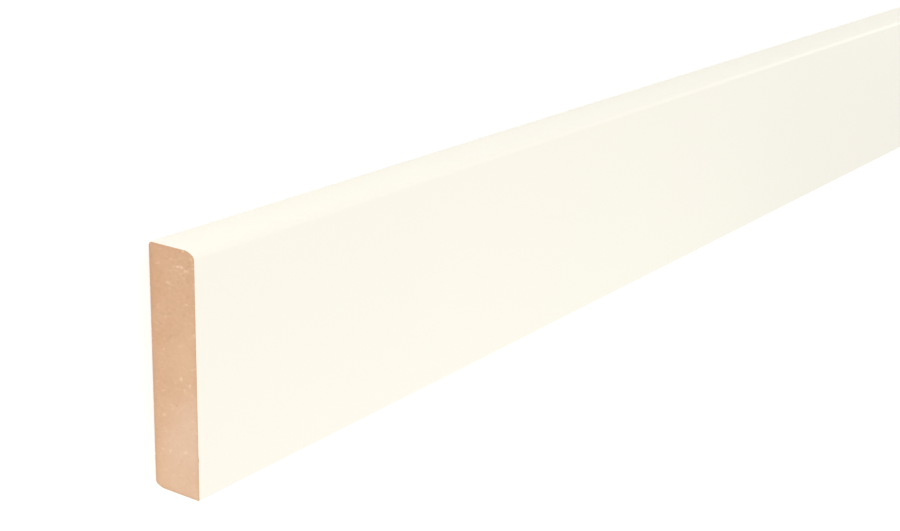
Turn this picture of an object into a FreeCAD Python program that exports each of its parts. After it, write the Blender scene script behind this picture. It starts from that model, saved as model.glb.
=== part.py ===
import FreeCAD, Part
import math
import os

# Skirting board length: one straight moulding of medium density fibreboard, sawn square at both ends.
# It lies on its back. X runs along the board, Y from its bottom edge to its top edge, and Z from its
# flat back to its face. The origin is the middle of the back. Sizes are in millimetres.

# Stock size
board_length = 2400.0
board_height = 78.0
board_thickness = 18.0

# Rounding of the four long edges. The two soft ones are quarter ellipses, which reach further along
# the thickness than along the height, and the two tight ones are quarter circles.
top_front_depth = 4.4
top_front_height = 2.6
top_back_radius = 1.2
bottom_back_depth = 3.8
bottom_back_height = 1.8
bottom_front_radius = 0.8


def section_corners(x):
    """The section's sharp corners at x, going once round, each with its rounding's depth and height."""
    bottom = -board_height / 2
    top = board_height / 2
    back = 0.0
    face = board_thickness
    return [
        (FreeCAD.Vector(x, bottom, back), bottom_back_depth, bottom_back_height),
        (FreeCAD.Vector(x, top, back), top_back_radius, top_back_radius),
        (FreeCAD.Vector(x, top, face), top_front_depth, top_front_height),
        (FreeCAD.Vector(x, bottom, face), bottom_front_radius, bottom_front_radius),
    ]


def corner_curve(before, corner, after, depth, height):
    """The quarter of an ellipse that rounds a square corner and runs tangent into both sides.

    The middle pole is the sharp corner itself, and its weight makes the curve an exact ellipse,
    or a circle where depth and height are the same.
    """
    ends = []
    for neighbour in (before, after):
        away = (neighbour - corner).normalize()
        reach = abs(away.z) * depth + abs(away.y) * height
        ends.append(corner + away * reach)
    curve = Part.BezierCurve()
    curve.setPoles([ends[0], corner, ends[1]])
    curve.setWeight(2, math.cos(math.pi / 4))
    return curve


def section_outline(x):
    """The closed outline of the section at x: four straights joined by four rounded corners."""
    corners = section_corners(x)
    curves = []
    for i, (corner, depth, height) in enumerate(corners):
        before = corners[i - 1][0]
        after = corners[(i + 1) % len(corners)][0]
        curves.append(corner_curve(before, corner, after, depth, height))
    edges = []
    for i, curve in enumerate(curves):
        next_curve = curves[(i + 1) % len(curves)]
        edges.append(curve.toShape())
        edges.append(Part.LineSegment(curve.EndPoint, next_curve.StartPoint).toShape())
    return Part.Wire(edges)


def skirting_board():
    """The whole board: its section run along X from one sawn end to the other."""
    near_end = Part.Face(section_outline(-board_length / 2))
    return near_end.extrude(FreeCAD.Vector(board_length, 0, 0))


os.makedirs("parts", exist_ok=True)
board = skirting_board()
board.exportStep("parts/skirting_board.step")
print("valid", board.isValid(), "solids", len(board.Solids), "volume_mm3", round(board.Volume, 1))
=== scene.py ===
import math
import random

import bpy
from mathutils import Matrix, Vector, noise


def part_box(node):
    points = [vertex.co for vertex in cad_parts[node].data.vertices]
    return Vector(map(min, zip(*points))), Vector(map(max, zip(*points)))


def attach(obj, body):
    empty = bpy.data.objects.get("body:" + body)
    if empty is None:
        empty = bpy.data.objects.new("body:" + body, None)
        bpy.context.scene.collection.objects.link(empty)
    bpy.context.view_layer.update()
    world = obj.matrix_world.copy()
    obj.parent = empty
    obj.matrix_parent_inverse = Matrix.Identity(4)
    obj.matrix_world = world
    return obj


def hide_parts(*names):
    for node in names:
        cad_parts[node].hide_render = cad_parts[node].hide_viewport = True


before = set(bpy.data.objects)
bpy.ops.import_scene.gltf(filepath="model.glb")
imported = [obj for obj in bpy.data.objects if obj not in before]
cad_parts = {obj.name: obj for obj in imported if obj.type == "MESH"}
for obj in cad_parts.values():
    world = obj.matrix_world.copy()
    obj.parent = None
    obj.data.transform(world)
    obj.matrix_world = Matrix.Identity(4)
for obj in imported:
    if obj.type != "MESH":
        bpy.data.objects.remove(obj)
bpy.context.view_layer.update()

# A skirting board length of lacquered fibreboard, lying on its back.
# X runs along it, Y from its bottom edge to its top edge, Z from its back to its face. Metres.
NODE = "skirting_board"
MM = 0.001
low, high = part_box(NODE)
near_x, far_x = low.x, high.x
bottom, top = low.y, high.y
back, face = low.z, high.z

# Rounding of the four long edges, as on the solid: height along Y and depth along Z
TOP_FRONT = (2.6 * MM, 4.4 * MM)
TOP_BACK = (1.2 * MM, 1.2 * MM)
BOTTOM_BACK = (1.8 * MM, 3.8 * MM)
BOTTOM_FRONT = (0.8 * MM, 0.8 * MM)

# The lacquer is a film that thins out to nothing where the back begins. The chips in its sawn edges
# have died out by their reach.
FILM = 0.15 * MM
FILM_TAPER = 1.5 * MM
FILM_CLEARANCE = 0.005 * MM
CHIP_REACH = 1.2 * MM

# Steps round each rounded edge, and how far apart points lie on the flats of the film and of the core
ROUNDING_STEPS = 16
FILM_PITCH = 0.4 * MM
CORE_PITCH = 0.5 * MM

# Grid of the sawn ends: its cells, the least distance between two rows, and the difference below which
# two heights are the same. Further in than the nicks' depth, the core is plain.
CELL = 0.25 * MM
LEAST_ROW = 0.02 * MM
SAME_HEIGHT = 1e-12
NICK_DEPTH = 1.5 * MM

# Seeds of the near and the far end, for the film's chips and for the marks on the sawn fibreboard
CHIP_SEEDS = (1.7, 9.2)
MARK_SEEDS = (3, 8)

# Rings of the film's mesh: close together at a sawn end (in mm), then a step apart
END_RINGS = (0.0, 0.12, 0.3, 0.6, 1.2, 3.0, 8.0, 20.0, 45.0)
RING_STEP = 80.0 * MM

# Bake map: the long sides are cut into rows, so that a square picture holds them, and what is hidden
# under the film gets a small share. An area is its left, its low edge, its width and its height.
LACQUER_ROWS = 5
LACQUER_AREA = (0.005, 0.005, 0.99, 0.94)
LACQUER_END_AREAS = ((0.005, 0.96, 0.99, 0.01), (0.005, 0.98, 0.99, 0.01))
CORE_ROWS = 6
CORE_SIDE_AREA = (0.005, 0.005, 0.62, 0.99)
CORE_END_AREAS = ((0.64, 0.005, 0.17, 0.75), (0.825, 0.005, 0.17, 0.75))
ROW_FILL = 0.96
HIDDEN_SHARE = 0.1


# Section

def smooth(value, start, end):
    """0 before start, 1 after end, with a soft step between."""
    t = min(max((value - start) / (end - start), 0.0), 1.0)
    return t * t * (3 - 2 * t)


def ripple(place, size, seed, layer):
    """Smooth noise along a line, from about -1 to 1, with waves of about size in mm."""
    return noise.noise(Vector((place / (size * MM), seed, layer)))


def excess(value, threshold):
    """How far a value lies above a threshold, and 0 below it."""
    return max(value - threshold, 0.0)


def rounding(corner, reach, start_angle):
    """Points and outward normals (y, z, ny, nz) along the quarter ellipse that rounds a corner."""
    height, depth = reach
    middle_y = corner[0] - math.copysign(height, corner[0] - (bottom + top) / 2)
    middle_z = corner[1] - math.copysign(depth, corner[1] - (back + face) / 2)
    made = []
    for i in range(ROUNDING_STEPS + 1):
        angle = start_angle + (math.pi / 2) * i / ROUNDING_STEPS
        normal = Vector((math.cos(angle) / height, math.sin(angle) / depth)).normalized()
        y = middle_y + height * math.cos(angle)
        z = middle_z + depth * math.sin(angle)
        made.append((y, z, normal.x, normal.y))
    return made


def straight(start, end, normal, pitch):
    """Points between start and end, without the ends, about pitch apart."""
    length = math.dist(start, end)
    count = max(int(round(length / pitch)), 1)
    return [
        (start[0] + (end[0] - start[0]) * i / count, start[1] + (end[1] - start[1]) * i / count, *normal)
        for i in range(1, count)
    ]


def lacquered_path(pitch):
    """The coated part of the outline, from the back over the top, the face and the bottom to the back."""
    top_back = rounding((top, back), TOP_BACK, -math.pi / 2)
    top_front = rounding((top, face), TOP_FRONT, 0.0)
    bottom_front = rounding((bottom, face), BOTTOM_FRONT, math.pi / 2)
    bottom_back = rounding((bottom, back), BOTTOM_BACK, math.pi)
    path = list(top_back)
    for corner, normal in ((top_front, (1, 0)), (bottom_front, (0, 1)), (bottom_back, (-1, 0))):
        path += straight(path[-1][:2], corner[0][:2], normal, pitch)
        path += corner
    return path


def along(path):
    """Distance of each point from the path's start."""
    distances = [0.0]
    for a, b in zip(path, path[1:]):
        distances.append(distances[-1] + math.dist(a[:2], b[:2]))
    return distances


def film_thickness(s, whole):
    """The film's thickness at distance s along a path of length whole."""
    return FILM * smooth(s, 0.0, FILM_TAPER) * smooth(whole - s, 0.0, FILM_TAPER)


def inner_path(path, clearance):
    """The path moved inwards by the film's thickness and a clearance."""
    distances = along(path)
    moved = []
    for (y, z, ny, nz), s in zip(path, distances):
        depth = film_thickness(s, distances[-1])
        depth += clearance * min(depth / FILM, 1.0)
        moved.append((y - ny * depth, z - nz * depth))
    return moved


# Mesh helpers

def mesh_object(name, vertices, faces, places=None):
    """A mesh piece. Places, where given, are its faces' corners on the map that is baked for the export."""
    mesh = bpy.data.meshes.new(name)
    mesh.from_pydata(vertices, [], faces)
    if places is not None:
        layer = mesh.uv_layers.new(name="OFBake")
        layer.data.foreach_set("uv", [value for face in places for corner in face for value in corner])
    made = bpy.data.objects.new(name, mesh)
    bpy.context.scene.collection.objects.link(made)
    return made


def within(area, across, up):
    """A place on the map, from its shares of an area's width and height."""
    left, low_edge, width, height = area
    return left + width * across, low_edge + height * up


def strip_faces(ring_a, ring_b, x_a, x_b, shares, area, rows):
    """Faces between two rings of vertices round the board, and their corners on the map.

    x_a and x_b give each ring's x, vertex by vertex, and shares tell how far round the board each
    vertex lies, from 0 to 1, with one more at the end for the first vertex again.
    """
    row_length = (far_x - near_x) / rows
    row = int((x_a[0] + x_b[0] - 2 * near_x) / 2 / row_length)
    faces, places = [], []
    for i in range(len(ring_a)):
        j = (i + 1) % len(ring_a)
        faces.append((ring_a[i], ring_a[j], ring_b[j], ring_b[i]))
        corners = (
            (x_a[i], shares[i]), (x_a[j], shares[i + 1]), (x_b[j], shares[i + 1]), (x_b[i], shares[i])
        )
        places.append([
            within(area, row + 1 - (x - near_x) / row_length, (row + share * ROW_FILL) / rows)
            for x, share in corners
        ])
    return faces, places


# Lacquer film

def film_stations():
    """Distances of the film's rings from a sawn end, as far as the middle of the board."""
    made = [value * MM for value in END_RINGS]
    step = RING_STEP
    while step < (far_x - near_x) / 2:
        made.append(step)
        step += RING_STEP
    return made


def chip(s, seed):
    """How far the film's sawn edge is broken back at distance s along the outline."""
    ragged = 0.03 + 0.04 * ripple(s, 0.3, seed, 7.0)
    flakes = 0.25 * excess(ripple(s, 0.9, seed, 0.0), 0.35)
    breaks = 0.8 * excess(ripple(s, 3.5, seed, 3.0), 0.45)
    return max(ragged + flakes + breaks, 0.0) * MM


def film_rings(distances):
    """The x of every vertex of the film, ring by ring from the near end to the far one."""
    near_chips, far_chips = ([chip(s, seed) for s in distances] for seed in CHIP_SEEDS)
    near_rings, far_rings = [], []
    for station in film_stations():
        fade = 1.0 - smooth(station, 0.0, CHIP_REACH)
        near_rings.append([near_x + station + depth * fade for depth in near_chips])
        far_rings.append([far_x - station - depth * fade for depth in far_chips])
    return near_rings + far_rings[::-1]


def film_end(first, count, shares, area, turned):
    """The narrow faces of the film's sawn edge, between its outside and its inside.

    The two meet in one point at each end of the path, so the first face and the last are triangles.
    """
    def inside(i):
        return i if i in (0, count - 1) else 2 * count - 2 - i

    faces, places = [], []
    for i in range(count - 1):
        corners = [(i, shares[i], 0.0), (inside(i), shares[i], 1.0)]
        corners += [(inside(i + 1), shares[i + 1], 1.0), (i + 1, shares[i + 1], 0.0)]
        if i == 0:
            del corners[1]
        if i == count - 2:
            del corners[-2]
        if turned:
            corners.reverse()
        faces.append([first + corner[0] for corner in corners])
        places.append([within(area, across if turned else 1 - across, up) for _, across, up in corners])
    return faces, places


def make_lacquer():
    """The film as one closed shell: its outside, its inside and a sawn edge at each end."""
    path = lacquered_path(FILM_PITCH)
    count = len(path)
    distances = along(path)
    loop = [point[:2] for point in path] + inner_path(path, 0.0)[-2:0:-1]
    loop_distances = distances + distances[-2:0:-1]
    whole = distances[-1]
    travelled = distances + [whole + (whole - s) * HIDDEN_SHARE for s in distances[-2::-1]]
    shares = [value / travelled[-1] for value in travelled]
    rings = film_rings(loop_distances)
    vertices = [(x, y, z) for ring in rings for x, (y, z) in zip(ring, loop)]
    faces, places = [], []
    for r in range(len(rings) - 1):
        ring_a = range(r * len(loop), (r + 1) * len(loop))
        ring_b = range((r + 1) * len(loop), (r + 2) * len(loop))
        made = strip_faces(ring_a, ring_b, rings[r], rings[r + 1], shares, LACQUER_AREA, LACQUER_ROWS)
        faces += made[0]
        places += made[1]
    edge_shares = [s / whole for s in distances]
    last = (len(rings) - 1) * len(loop)
    for first, area, turned in ((0, LACQUER_END_AREAS[0], False), (last, LACQUER_END_AREAS[1], True)):
        made = film_end(first, count, edge_shares, area, turned)
        faces += made[0]
        places += made[1]
    return mesh_object("lacquer", vertices, faces, places)


# Fibreboard core

def core_outline():
    """The core's whole outline as a closed ring of (y, z): under the film, then across the bare back."""
    return inner_path(lacquered_path(CORE_PITCH), FILM_CLEARANCE)


def z_range(outline, y):
    """Where a line at height y enters and leaves the outline."""
    crossings = []
    for (ya, za), (yb, zb) in zip(outline, outline[1:] + outline[:1]):
        if (ya - y) * (yb - y) <= 0 and abs(yb - ya) > SAME_HEIGHT:
            crossings.append(za + (zb - za) * (y - ya) / (yb - ya))
    return min(crossings), max(crossings)


def row_heights(outline):
    """Heights of the end grid's rows: even ones, and those of the outline's own points."""
    own = [point[0] for point in outline]
    lowest, highest = min(own), max(own)
    count = int(round((highest - lowest) / CELL))
    even = [lowest + (highest - lowest) * i / count for i in range(count + 1)]
    heights = sorted(even + own)
    kept = [heights[0]]
    for value in heights[1:-1]:
        if value - kept[-1] > LEAST_ROW and heights[-1] - value > LEAST_ROW:
            kept.append(value)
    return kept + [heights[-1]]


# Saw marks on a sawn end: the point (y, z) that they turn round, and how many mm apart the coarse and
# the fine ones lie
SAW_CENTRE = (bottom - 60.0 * MM, back + 60.0 * MM)
COARSE_PITCH = 2.9
FINE_PITCH = 1.13

# The painted light on a sawn end, a paler patch over its lower part towards the face: its middle (y, z) and
# its radius
PAINTED_LIGHT_CENTRE = (bottom + 10.0 * MM, back + 32.0 * MM)
PAINTED_LIGHT_RADIUS = 30.5 * MM


def blotch(y, z, size, seed):
    """Smooth noise over a sawn end, from about -1 to 1, with blotches of about size in mm."""
    return noise.noise(Vector((y / (size * MM), z / (size * MM), seed)))


def saw_mark(y, z, seed):
    """Ripple left by the blade, from -1 to 1."""
    radius = math.dist((y, z), SAW_CENTRE) / MM
    drift = 1.6 * blotch(y, z, 9.0, seed)
    coarse = math.sin(2 * math.pi * (radius / COARSE_PITCH + drift * 0.5))
    fine = math.sin(2 * math.pi * (radius / FINE_PITCH + drift))
    patch = 0.5 + blotch(y, z, 13.0, seed + 5)
    return (0.6 * coarse + 0.4 * fine) * min(max(patch, 0.0), 1.0)


def painted_light_patch(y, z, seed):
    """Painted light: the lower part of a sawn end towards its face made paler, from 0 to 1."""
    ragged = 1.5 * blotch(y, z, 4.0, seed + 2)
    inwards = (PAINTED_LIGHT_RADIUS - math.dist((y, z), PAINTED_LIGHT_CENTRE)) / MM + ragged
    fade = 0.5 + 0.5 * smooth(y, bottom + 6.0 * MM, bottom + 17.0 * MM)
    return smooth(inwards, -2.0, 8.0) * fade


# Kinds of fibre bundle on a sawn end: how many, the least and the most of its half width in mm and of
# its strength, how many times longer than wide it is at most, and the share that is darker than the board
FLECK_KINDS = {
    "speck": {"count": 50, "half_width": (0.2, 0.45), "strength": (0.1, 0.3), "length": 2.2, "dark": 0.35},
    "clot": {"count": 9, "half_width": (0.3, 0.5), "strength": (0.5, 0.95), "length": 1.7, "dark": 0.0},
    "hair": {"count": 120, "half_width": (0.15, 0.27), "strength": (0.12, 0.45), "length": 6.0, "dark": 0.4},
    "torn": {"count": 56, "half_width": (0.18, 0.36), "strength": (0.25, 0.75), "length": 2.6, "dark": 0.5},
}

# Where the torn fibres crowd: the middle (y, z), and how far they spread from it along y and z
TORN_MIDDLE = (top - 5.5 * MM, face - 3.6 * MM)
TORN_SPREAD = (4.5 * MM, 2.6 * MM)

# How a fleck's slope differs from the saw's marks, in degrees: the mean and the spread
FLECK_SLOPE = (-12.0, 18.0)

# Rows further than this from a fleck's middle leave it out
FLECK_REACH = 2.5 * MM


def scatter_flecks(seed):
    """Fibre bundles on a sawn end: centre (y, z), half length, half width, angle and strength.

    They lie a little flatter than the saw's marks, and the torn ones crowd at the top of the face.
    """
    chance = random.Random(seed)
    made = []
    for name, kind in FLECK_KINDS.items():
        for _ in range(kind["count"]):
            if name == "torn":
                y, z = (chance.gauss(*place) for place in zip(TORN_MIDDLE, TORN_SPREAD))
            else:
                y, z = (chance.uniform(*sides) for sides in ((bottom, top), (back, face)))
            half_width = chance.uniform(*kind["half_width"]) * MM
            half_length = half_width * chance.uniform(1.0, kind["length"])
            slope = math.atan2(SAW_CENTRE[1] - z, y - SAW_CENTRE[0])
            angle = slope + math.radians(chance.gauss(*FLECK_SLOPE))
            strength = chance.uniform(*kind["strength"])
            if chance.random() < kind["dark"]:
                strength = -strength
            made.append((y, z, half_length, half_width, angle, strength))
    return made


def fleck_at(y, z, fleck):
    """How strongly a fleck shows at a point, from 0 to its strength."""
    fy, fz, half_length, half_width, angle, strength = fleck
    dy, dz = y - fy, z - fz
    run = dz * math.cos(angle) + dy * math.sin(angle)
    rise = dy * math.cos(angle) - dz * math.sin(angle)
    reach = (run / half_length) ** 2 + (rise / half_width) ** 2
    return strength * math.exp(-reach)


def nick(y, seed):
    """How far the arris between a sawn end and the bare back is broken away at height y."""
    ragged = 0.04 + 0.03 * ripple(y, 0.5, seed, 6.0)
    breaks = 0.5 * excess(ripple(y, 1.6, seed, 4.0), 0.3)
    edge = smooth(y, bottom + 2.0 * MM, bottom + 3.0 * MM) * smooth(-y, -top + 1.5 * MM, -top + 2.5 * MM)
    return max(ragged + breaks, 0.0) * edge * MM


# The denser skin round a sawn end: the depth over which it fades
SKIN = 0.6 * MM

# Relief of a sawn end, in mm: how deep it lies all over, how much deeper saw marks, roughness, pits and
# the skin go at full strength, and how far a bundle of fibres stands up from it
SUNK = 0.035
MARK_RELIEF = 0.012
ROUGH_RELIEF = 0.012
PIT_RELIEF = 0.16
SKIN_RELIEF = 0.03
FLECK_RELIEF = 0.02

# Size of that roughness, and height and width of the pits, in mm
ROUGH_SIZE = 0.8
PIT_HEIGHT = 1.1
PIT_WIDTH = 0.7


def marks_at(y, z, inwards, flecks, seed):
    """What the sawn material reads at a point that lies this far inwards from the outline."""
    fleck = sum(fleck_at(y, z, each) for each in flecks)
    return {
        "fleck": min(max(fleck, -1.0), 1.0),
        "saw_mark": saw_mark(y, z, seed),
        "rim": math.exp(-max(inwards, 0.0) / SKIN),
        "painted_light_patch": painted_light_patch(y, z, seed),
    }


def relief(y, z, marks, seed):
    """How deep into the board the sawn surface lies at a point."""
    rough = noise.fractal(Vector((y / (ROUGH_SIZE * MM), z / (ROUGH_SIZE * MM), seed)), 0.9, 2.1, 3)
    pit = excess(noise.noise(Vector((y / (PIT_HEIGHT * MM), z / (PIT_WIDTH * MM), seed + 11))), 0.45)
    depth = SUNK + MARK_RELIEF * marks["saw_mark"] + ROUGH_RELIEF * rough + PIT_RELIEF * pit
    depth = depth - FLECK_RELIEF * marks["fleck"] + SKIN_RELIEF * marks["rim"]
    return max(depth, 0.0) * MM


def sawn_end(heights, spans, columns, seed):
    """Points of a sawn end, row by row: (y, z, depth into the board), and what its material reads there."""
    flecks = scatter_flecks(seed)
    made = []
    for y, (start, end) in zip(heights, spans):
        near_flecks = [fleck for fleck in flecks if abs(fleck[0] - y) < FLECK_REACH]
        first = start + nick(y, seed)
        for i in range(columns):
            z = first + (end - first) * i / (columns - 1)
            inwards = min(z - start, end - z, y - heights[0], heights[-1] - y)
            marks = marks_at(y, z, inwards, near_flecks, seed)
            made.append(((y, z, relief(y, z, marks, seed)), marks))
    return made


def grid_faces(rows, columns, turned):
    """Faces of a grid whose points are counted row by row."""
    faces = []
    for r in range(rows - 1):
        for c in range(columns - 1):
            a = r * columns + c
            quad = [a, a + 1, a + columns + 1, a + columns]
            faces.append(quad[::-1] if turned else quad)
    return faces


def sawn_end_mesh(heights, spans, columns, seed, area, far):
    """A sawn end as a grid: its vertices, its faces, their places on the map, and its material's values."""
    vertices, spots, looks = [], [], []
    for (y, z, depth), marks in sawn_end(heights, spans, columns, seed):
        vertices.append((far_x - depth if far else near_x + depth, y, z))
        across = (z - back) / (face - back)
        spots.append(within(area, 1 - across if far else across, (y - bottom) / (top - bottom)))
        looks.append(marks)
    faces = grid_faces(len(heights), columns, far)
    places = [[spots[i] for i in quad] for quad in faces]
    return vertices, faces, places, looks


def border_of(rows, columns):
    """Indices (row, column) round the border of a grid."""
    ring = [(r, 0) for r in range(rows - 1)]
    ring += [(rows - 1, c) for c in range(columns - 1)]
    ring += [(r, columns - 1) for r in range(rows - 1, 0, -1)]
    ring += [(0, c) for c in range(columns - 1, 0, -1)]
    return ring


def core_ring_places():
    """The x of the core's rings between its ends: clear of the nicks, and where a row of the map ends."""
    row_length = (far_x - near_x) / CORE_ROWS
    breaks = [near_x + row_length * i for i in range(1, CORE_ROWS)]
    return [near_x + NICK_DEPTH] + breaks + [far_x - NICK_DEPTH]


def round_shares(ring):
    """How far round the core each border point lies, from 0 to 1. What the film hides takes little room."""
    travelled = [0.0]
    for (ya, za), (yb, zb) in zip(ring, ring[1:] + ring[:1]):
        bare = max(za, zb) - back < FILM_CLEARANCE
        travelled.append(travelled[-1] + math.dist((ya, za), (yb, zb)) * (1.0 if bare else HIDDEN_SHARE))
    return [value / travelled[-1] for value in travelled]


def make_core():
    """The board under its film: two sawn ends as fine grids, joined by long plain sides."""
    outline = core_outline()
    heights = row_heights(outline)
    spans = [z_range(outline, y) for y in heights]
    columns = int(round((face - back) / CELL)) + 1
    border = border_of(len(heights), columns)
    vertices, faces, places, looks = [], [], [], []
    rings, ring_xs = [], []
    for seed, area, far in zip(MARK_SEEDS, CORE_END_AREAS, (False, True)):
        first = len(vertices)
        made = sawn_end_mesh(heights, spans, columns, seed, area, far)
        vertices += made[0]
        faces += [[first + i for i in quad] for quad in made[1]]
        places += made[2]
        looks += made[3]
        rings.append([first + r * columns + c for r, c in border])
        ring_xs.append([vertices[i][0] for i in rings[-1]])
    sawn_faces = len(faces)

    # The plain rings go between the first and the last one, which are the borders of the sawn ends
    border_points = []
    for r, c in border:
        start, end = spans[r]
        border_points.append((heights[r], start + (end - start) * c / (columns - 1)))
    for x in core_ring_places():
        rings.insert(-1, range(len(vertices), len(vertices) + len(border)))
        ring_xs.insert(-1, [x] * len(border))
        vertices += [(x, y, z) for y, z in border_points]

    # The long sides join each ring to the next
    shares = round_shares(border_points)
    for r in range(len(rings) - 1):
        made = strip_faces(
            rings[r], rings[r + 1], ring_xs[r], ring_xs[r + 1], shares, CORE_SIDE_AREA, CORE_ROWS
        )
        faces += made[0]
        places += made[1]
    core = mesh_object("fibreboard", vertices, faces, places)

    # Between the sawn ends their values are 0, and the long sides have the second material
    for name in looks[0]:
        values = [look[name] for look in looks] + [0.0] * (len(vertices) - len(looks))
        core.data.attributes.new(name, "FLOAT", "POINT").data.foreach_set("value", values)
    slots = [0] * sawn_faces + [1] * (len(faces) - sawn_faces)
    core.data.polygons.foreach_set("material_index", slots)
    return core


# Materials

def new_material(name):
    """A material with a Principled shader, its node tree and the shader."""
    material = bpy.data.materials.new(name)
    material.use_nodes = True
    tree = material.node_tree
    tree.nodes.clear()
    output = tree.nodes.new("ShaderNodeOutputMaterial")
    shader = tree.nodes.new("ShaderNodeBsdfPrincipled")
    tree.links.new(shader.outputs["BSDF"], output.inputs["Surface"])
    return material, tree, shader


def node(tree, kind, inputs, **settings):
    """A new node. Each input is a plain value or another node's output."""
    made = tree.nodes.new("ShaderNode" + kind)
    for name, value in settings.items():
        setattr(made, name, value)
    for name, value in inputs.items():
        if isinstance(value, bpy.types.NodeSocket):
            tree.links.new(value, made.inputs[name])
        else:
            made.inputs[name].default_value = value
    return made


def millimetres(tree, stretch=(1.0, 1.0, 1.0)):
    """Object coordinates in millimetres, each axis times its stretch."""
    place = node(tree, "TexCoord", {}).outputs["Object"]
    factors = tuple(value / MM for value in stretch)
    return node(tree, "VectorMath", {0: place, 1: factors}, operation="MULTIPLY").outputs[0]


def noise_at(tree, place, scale, detail, roughness=0.5):
    """Noise from 0 to 1, with about scale waves to the millimetre."""
    return node(
        tree, "TexNoise", {"Vector": place, "Scale": scale, "Detail": detail, "Roughness": roughness}
    ).outputs["Fac"]


def remap(tree, value, from_low, from_high, to_low, to_high):
    """A value's range stretched onto another one, and level beyond it."""
    return node(
        tree,
        "MapRange",
        {"Value": value, "From Min": from_low, "From Max": from_high, "To Min": to_low, "To Max": to_high},
    ).outputs["Result"]


def mix_colour(tree, factor, a, b):
    """A mix of two colours, each given as red, green and blue or as another node's output.

    The Mix node has several sockets of each name, so its colour sockets are taken by number.
    """
    a, b = (value if isinstance(value, bpy.types.NodeSocket) else (*value, 1.0) for value in (a, b))
    return node(tree, "Mix", {0: factor, 6: a, 7: b}, data_type="RGBA").outputs[2]


def bump(tree, height, distance, strength=1.0, under=None):
    """A normal bent by a height, whose 1 stands for distance, over the normal under it if there is one."""
    inputs = {"Height": height, "Distance": distance, "Strength": strength}
    if under is not None:
        inputs["Normal"] = under
    return node(tree, "Bump", inputs).outputs["Normal"]


def lacquer_material():
    """Cream-white satin lacquer with a faint orange peel."""
    material, tree, shader = new_material("satin_lacquer")
    place = millimetres(tree)
    cream = (0.94, 0.905, 0.80)
    cooler = (0.932, 0.903, 0.796)
    clouds = noise_at(tree, place, 0.012, 2.0)
    colour = mix_colour(tree, remap(tree, clouds, 0.35, 0.65, 0.0, 1.0), cream, cooler)
    tree.links.new(colour, shader.inputs["Base Color"])
    gloss = noise_at(tree, place, 0.06, 3.0)
    tree.links.new(remap(tree, gloss, 0.3, 0.7, 0.355, 0.375), shader.inputs["Roughness"])

    # Orange peel with waves of about 2 mm, and a finer roughness over it
    peel = noise_at(tree, place, 0.55, 2.0)
    fine = noise_at(tree, place, 3.5, 2.0)
    normal = bump(tree, peel, 0.02 * MM)
    normal = bump(tree, fine, 0.0015 * MM, under=normal)
    tree.links.new(normal, shader.inputs["Normal"])
    return material


def mottle_at(tree, place):
    """Soft clots of fibre about a millimetre wide, with finer grit over them."""
    clots = noise_at(tree, place, 0.7, 2.0)
    grit = noise_at(tree, place, 3.5, 3.0, 0.6)
    return node(tree, "Math", {0: clots, 1: grit}, operation="ADD").outputs[0]


def vertex_value(tree, name):
    """A value that the mesh holds for each of its vertices."""
    return node(tree, "Attribute", {}, attribute_name=name).outputs["Fac"]


def sawn_material():
    """Sawn fibreboard: tan and mottled, with fibre bundles, faint saw marks and denser, darker skins, and
    painted light and shade: paler low down and towards the face, darker at the top.
    """
    material, tree, shader = new_material("sawn_fibreboard")
    place = millimetres(tree)
    tan = (0.66, 0.414, 0.257)
    dark_tan = (0.575, 0.345, 0.205)
    gap_colour = (0.46, 0.27, 0.155)
    # The colour that the painted light pales a sawn end towards
    pale = (0.97, 0.75, 0.53)
    fleck_colour = (0.93, 0.73, 0.54)
    # The whiter colour of the painted light's patch
    painted_light_colour = (0.81, 0.62, 0.52)
    colour = mix_colour(tree, remap(tree, mottle_at(tree, place), 0.7, 1.3, 0.7, -0.04), tan, dark_tan)

    # Painted light: paler towards the bottom of the board and a little towards its face, with soft clouds of
    # tone over it; and painted shade darker near its top
    position = node(tree, "SeparateXYZ", {0: place})
    height = remap(tree, position.outputs["Y"], 38.0, -30.0, -0.05, 0.155)
    depth = remap(tree, position.outputs["Z"], 2.0, 16.0, 0.045, 0.055)
    clouds = remap(tree, noise_at(tree, place, 0.11, 2.0), 0.3, 0.7, -0.05, 0.05)
    painted_light_mix = node(tree, "Math", {0: height, 1: depth}, operation="ADD").outputs[0]
    painted_light_mix = node(tree, "Math", {0: painted_light_mix, 1: clouds}, operation="ADD", use_clamp=True).outputs[0]
    colour = mix_colour(tree, painted_light_mix, colour, pale)
    # Painted shade: darker towards the top of a sawn end
    shade = remap(tree, position.outputs["Y"], 8.0, 38.0, 0.0, 0.15)
    colour = mix_colour(tree, shade, colour, dark_tan)

    # The painted light of the paler patch low on the face side, the saw's marks, the denser skin, and the
    # dark and the pale bundles of fibre
    painted_light_patch_mix = remap(tree, vertex_value(tree, "painted_light_patch"), 0.0, 1.0, 0.0, 0.24)
    colour = mix_colour(tree, painted_light_patch_mix, colour, painted_light_colour)
    marked = remap(tree, vertex_value(tree, "saw_mark"), -1.0, 1.0, 0.08, 0.0)
    colour = mix_colour(tree, marked, colour, dark_tan)
    skin = remap(tree, vertex_value(tree, "rim"), 0.0, 1.0, 0.0, 0.65)
    colour = mix_colour(tree, skin, colour, dark_tan)
    fleck = vertex_value(tree, "fleck")
    colour = mix_colour(tree, remap(tree, fleck, 0.0, -1.0, 0.0, 0.65), colour, gap_colour)
    colour = mix_colour(tree, remap(tree, fleck, 0.0, 1.0, 0.0, 0.55), colour, fleck_colour)

    tree.links.new(colour, shader.inputs["Base Color"])
    shader.inputs["Roughness"].default_value = 0.85
    shader.inputs["Specular IOR Level"].default_value = 0.3
    grain = noise_at(tree, place, 3.0, 4.0, 0.6)
    tree.links.new(bump(tree, grain, 0.03 * MM, 0.6), shader.inputs["Normal"])
    return material


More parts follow.
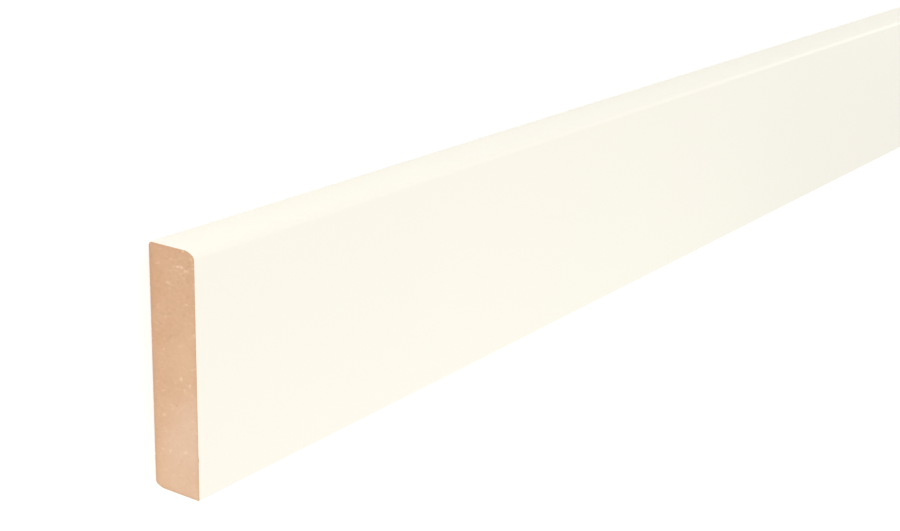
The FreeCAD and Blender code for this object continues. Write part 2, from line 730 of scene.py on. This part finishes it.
def sanded_material():
    """The bare back: fibreboard sanded along its length."""
    material, tree, shader = new_material("sanded_fibreboard")
    place = millimetres(tree)
    brown = (0.6, 0.4, 0.26)
    light = (0.66, 0.46, 0.31)
    scratches = noise_at(tree, millimetres(tree, (0.02, 3.5, 3.5)), 1.0, 3.0)
    mottle = noise_at(tree, place, 0.35, 4.0, 0.6)
    tone = node(tree, "Math", {0: scratches, 1: mottle}, operation="ADD").outputs[0]
    colour = mix_colour(tree, remap(tree, tone, 0.75, 1.25, 0.0, 1.0), brown, light)
    tree.links.new(colour, shader.inputs["Base Color"])
    shader.inputs["Roughness"].default_value = 0.7
    tree.links.new(bump(tree, scratches, 0.01 * MM, 0.5), shader.inputs["Normal"])
    return material


# Board

lacquer = make_lacquer()
lacquer.data.materials.append(lacquer_material())
core = make_core()
core.data.materials.append(sawn_material())
core.data.materials.append(sanded_material())
for piece, slot in ((lacquer, "lacquered_face"), (core, "sawn_fibreboard")):
    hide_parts(NODE)
    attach(piece, "root")
lacquer.data.polygons.foreach_set("use_smooth", [True] * len(lacquer.data.polygons))
lacquer.data.set_sharp_from_angle(angle=math.radians(40))


# Camera: where it stands, the point on the face that it looks at, how far it is rolled, and its lens
CAMERA_PLACE = Vector((-1.52, 0.1771, 0.3245))
CAMERA_TARGET = Vector((-1.0714, 0.0033, 0.018))
CAMERA_ROLL = math.radians(1.62)
CAMERA_LENS = 64.7


def make_camera():
    """Looks down on the lying board so that its top edge is up in the picture, as if it stood."""
    camera = bpy.data.objects.new("camera", bpy.data.cameras.new("camera"))
    bpy.context.scene.collection.objects.link(camera)
    behind = (CAMERA_PLACE - CAMERA_TARGET).normalized()
    level = Vector((0.0, 1.0, 0.0)).cross(behind).normalized()
    right = Matrix.Rotation(CAMERA_ROLL, 3, behind) @ level
    axes = Matrix((right, behind.cross(right), behind)).transposed()
    camera.matrix_world = Matrix.Translation(CAMERA_PLACE) @ axes.to_4x4()
    camera.data.sensor_width = 36.0
    camera.data.lens = CAMERA_LENS
    camera.data.clip_start = 0.01
    camera.data.clip_end = 100.0
    bpy.context.scene.camera = camera


make_camera()


# Light and floor

# The world's level on what it lights, and the floor's colour and its glow where it is seen directly
WORLD_LEVEL = 0.8
FLOOR_COLOUR = (0.86, 0.86, 0.86, 1.0)
FLOOR_GLOW = 0.31

# Soft lamps near the board's near end: name, place, point they face, width and height, watts, and
# whether gloss shows them
LAMPS = (
    ("top_light", (-1.5, 0.8, 0.3), (-1.2, 0.0, 0.0), (0.6, 0.4), 1.4, False),
    ("end_light", (-2.4, 0.2, 0.5), (-1.2, 0.0, 0.0), (1.0, 1.0), 4.9, True),
    ("low_light", (-1.05, -0.13, 0.19), (-1.05, -0.02, 0.018), (0.45, 0.1), 0.085, False),
    ("side_light", (-0.7, -0.6, 0.25), (-0.95, 0.0, 0.018), (0.4, 0.3), 0.35, False),
    ("edge_light", (-0.2, 0.36, 0.24), (-0.9, 0.04, 0.01), (0.8, 0.3), 0.45, True),
)


def seen_directly(tree):
    """1 for rays that see a surface themselves or in a mirror or glass, 0 for rays that light things."""
    path = node(tree, "LightPath", {})
    seen = path.outputs["Is Camera Ray"]
    for ray in ("Is Glossy Ray", "Is Transmission Ray"):
        seen = node(tree, "Math", {0: seen, 1: path.outputs[ray]}, operation="MAXIMUM").outputs[0]
    return seen


def make_world():
    """Plain white light from all round, and plain white where it is seen directly."""
    world = bpy.data.worlds.new("studio")
    world.use_nodes = True
    tree = world.node_tree
    tree.nodes.clear()
    level = remap(tree, seen_directly(tree), 0.0, 1.0, WORLD_LEVEL, 1.0)
    background = node(tree, "Background", {"Color": (1.0, 1.0, 1.0, 1.0), "Strength": level})
    output = tree.nodes.new("ShaderNodeOutputWorld")
    tree.links.new(background.outputs[0], output.inputs["Surface"])
    bpy.context.scene.world = world


def make_floor():
    """Paper just under the board, which glows where it is seen directly, so that it looks white."""
    half = 8.0
    gap = 0.1 * MM
    z = back - gap
    corners = [(-half, -half, z), (half, -half, z), (half, half, z), (-half, half, z)]
    floor = mesh_object("floor", corners, [(0, 1, 2, 3)])
    material = bpy.data.materials.new("floor_paper")
    material.use_nodes = True
    tree = material.node_tree
    tree.nodes.clear()
    paper = node(tree, "BsdfDiffuse", {"Color": FLOOR_COLOUR})
    glow_level = remap(tree, seen_directly(tree), 0.0, 1.0, 0.0, FLOOR_GLOW)
    glow = node(tree, "Emission", {"Color": (1.0, 1.0, 1.0, 1.0), "Strength": glow_level})
    both = node(tree, "AddShader", {0: paper.outputs[0], 1: glow.outputs[0]})
    output = tree.nodes.new("ShaderNodeOutputMaterial")
    tree.links.new(both.outputs[0], output.inputs["Surface"])
    floor.data.materials.append(material)


def area_light(name, place, target, size, power, in_gloss):
    """A soft lamp that the camera doesn't see itself, and gloss only where in_gloss says so."""
    light = bpy.data.lights.new(name, "AREA")
    light.shape = "RECTANGLE"
    light.size, light.size_y = size
    light.energy = power
    made = bpy.data.objects.new(name, light)
    bpy.context.scene.collection.objects.link(made)
    made.location = place
    made.visible_camera = False
    made.visible_glossy = in_gloss
    made.rotation_euler = (Vector(target) - Vector(place)).to_track_quat("-Z", "Y").to_euler()


def light_pair(name, place, target, size, power, in_gloss):
    """A lamp near one end of the board and its twin near the other, so that both halves are lit alike."""
    for end_name, side in (("near", 1), ("far", -1)):
        mirror = Vector((side, 1, 1))
        shifted = (Vector(place) * mirror, Vector(target) * mirror)
        area_light(name + "_" + end_name, *shifted, size, power, in_gloss)


make_world()
make_floor()
for lamp in LAMPS:
    light_pair(*lamp)

bpy.context.scene.view_settings.view_transform = "Standard"
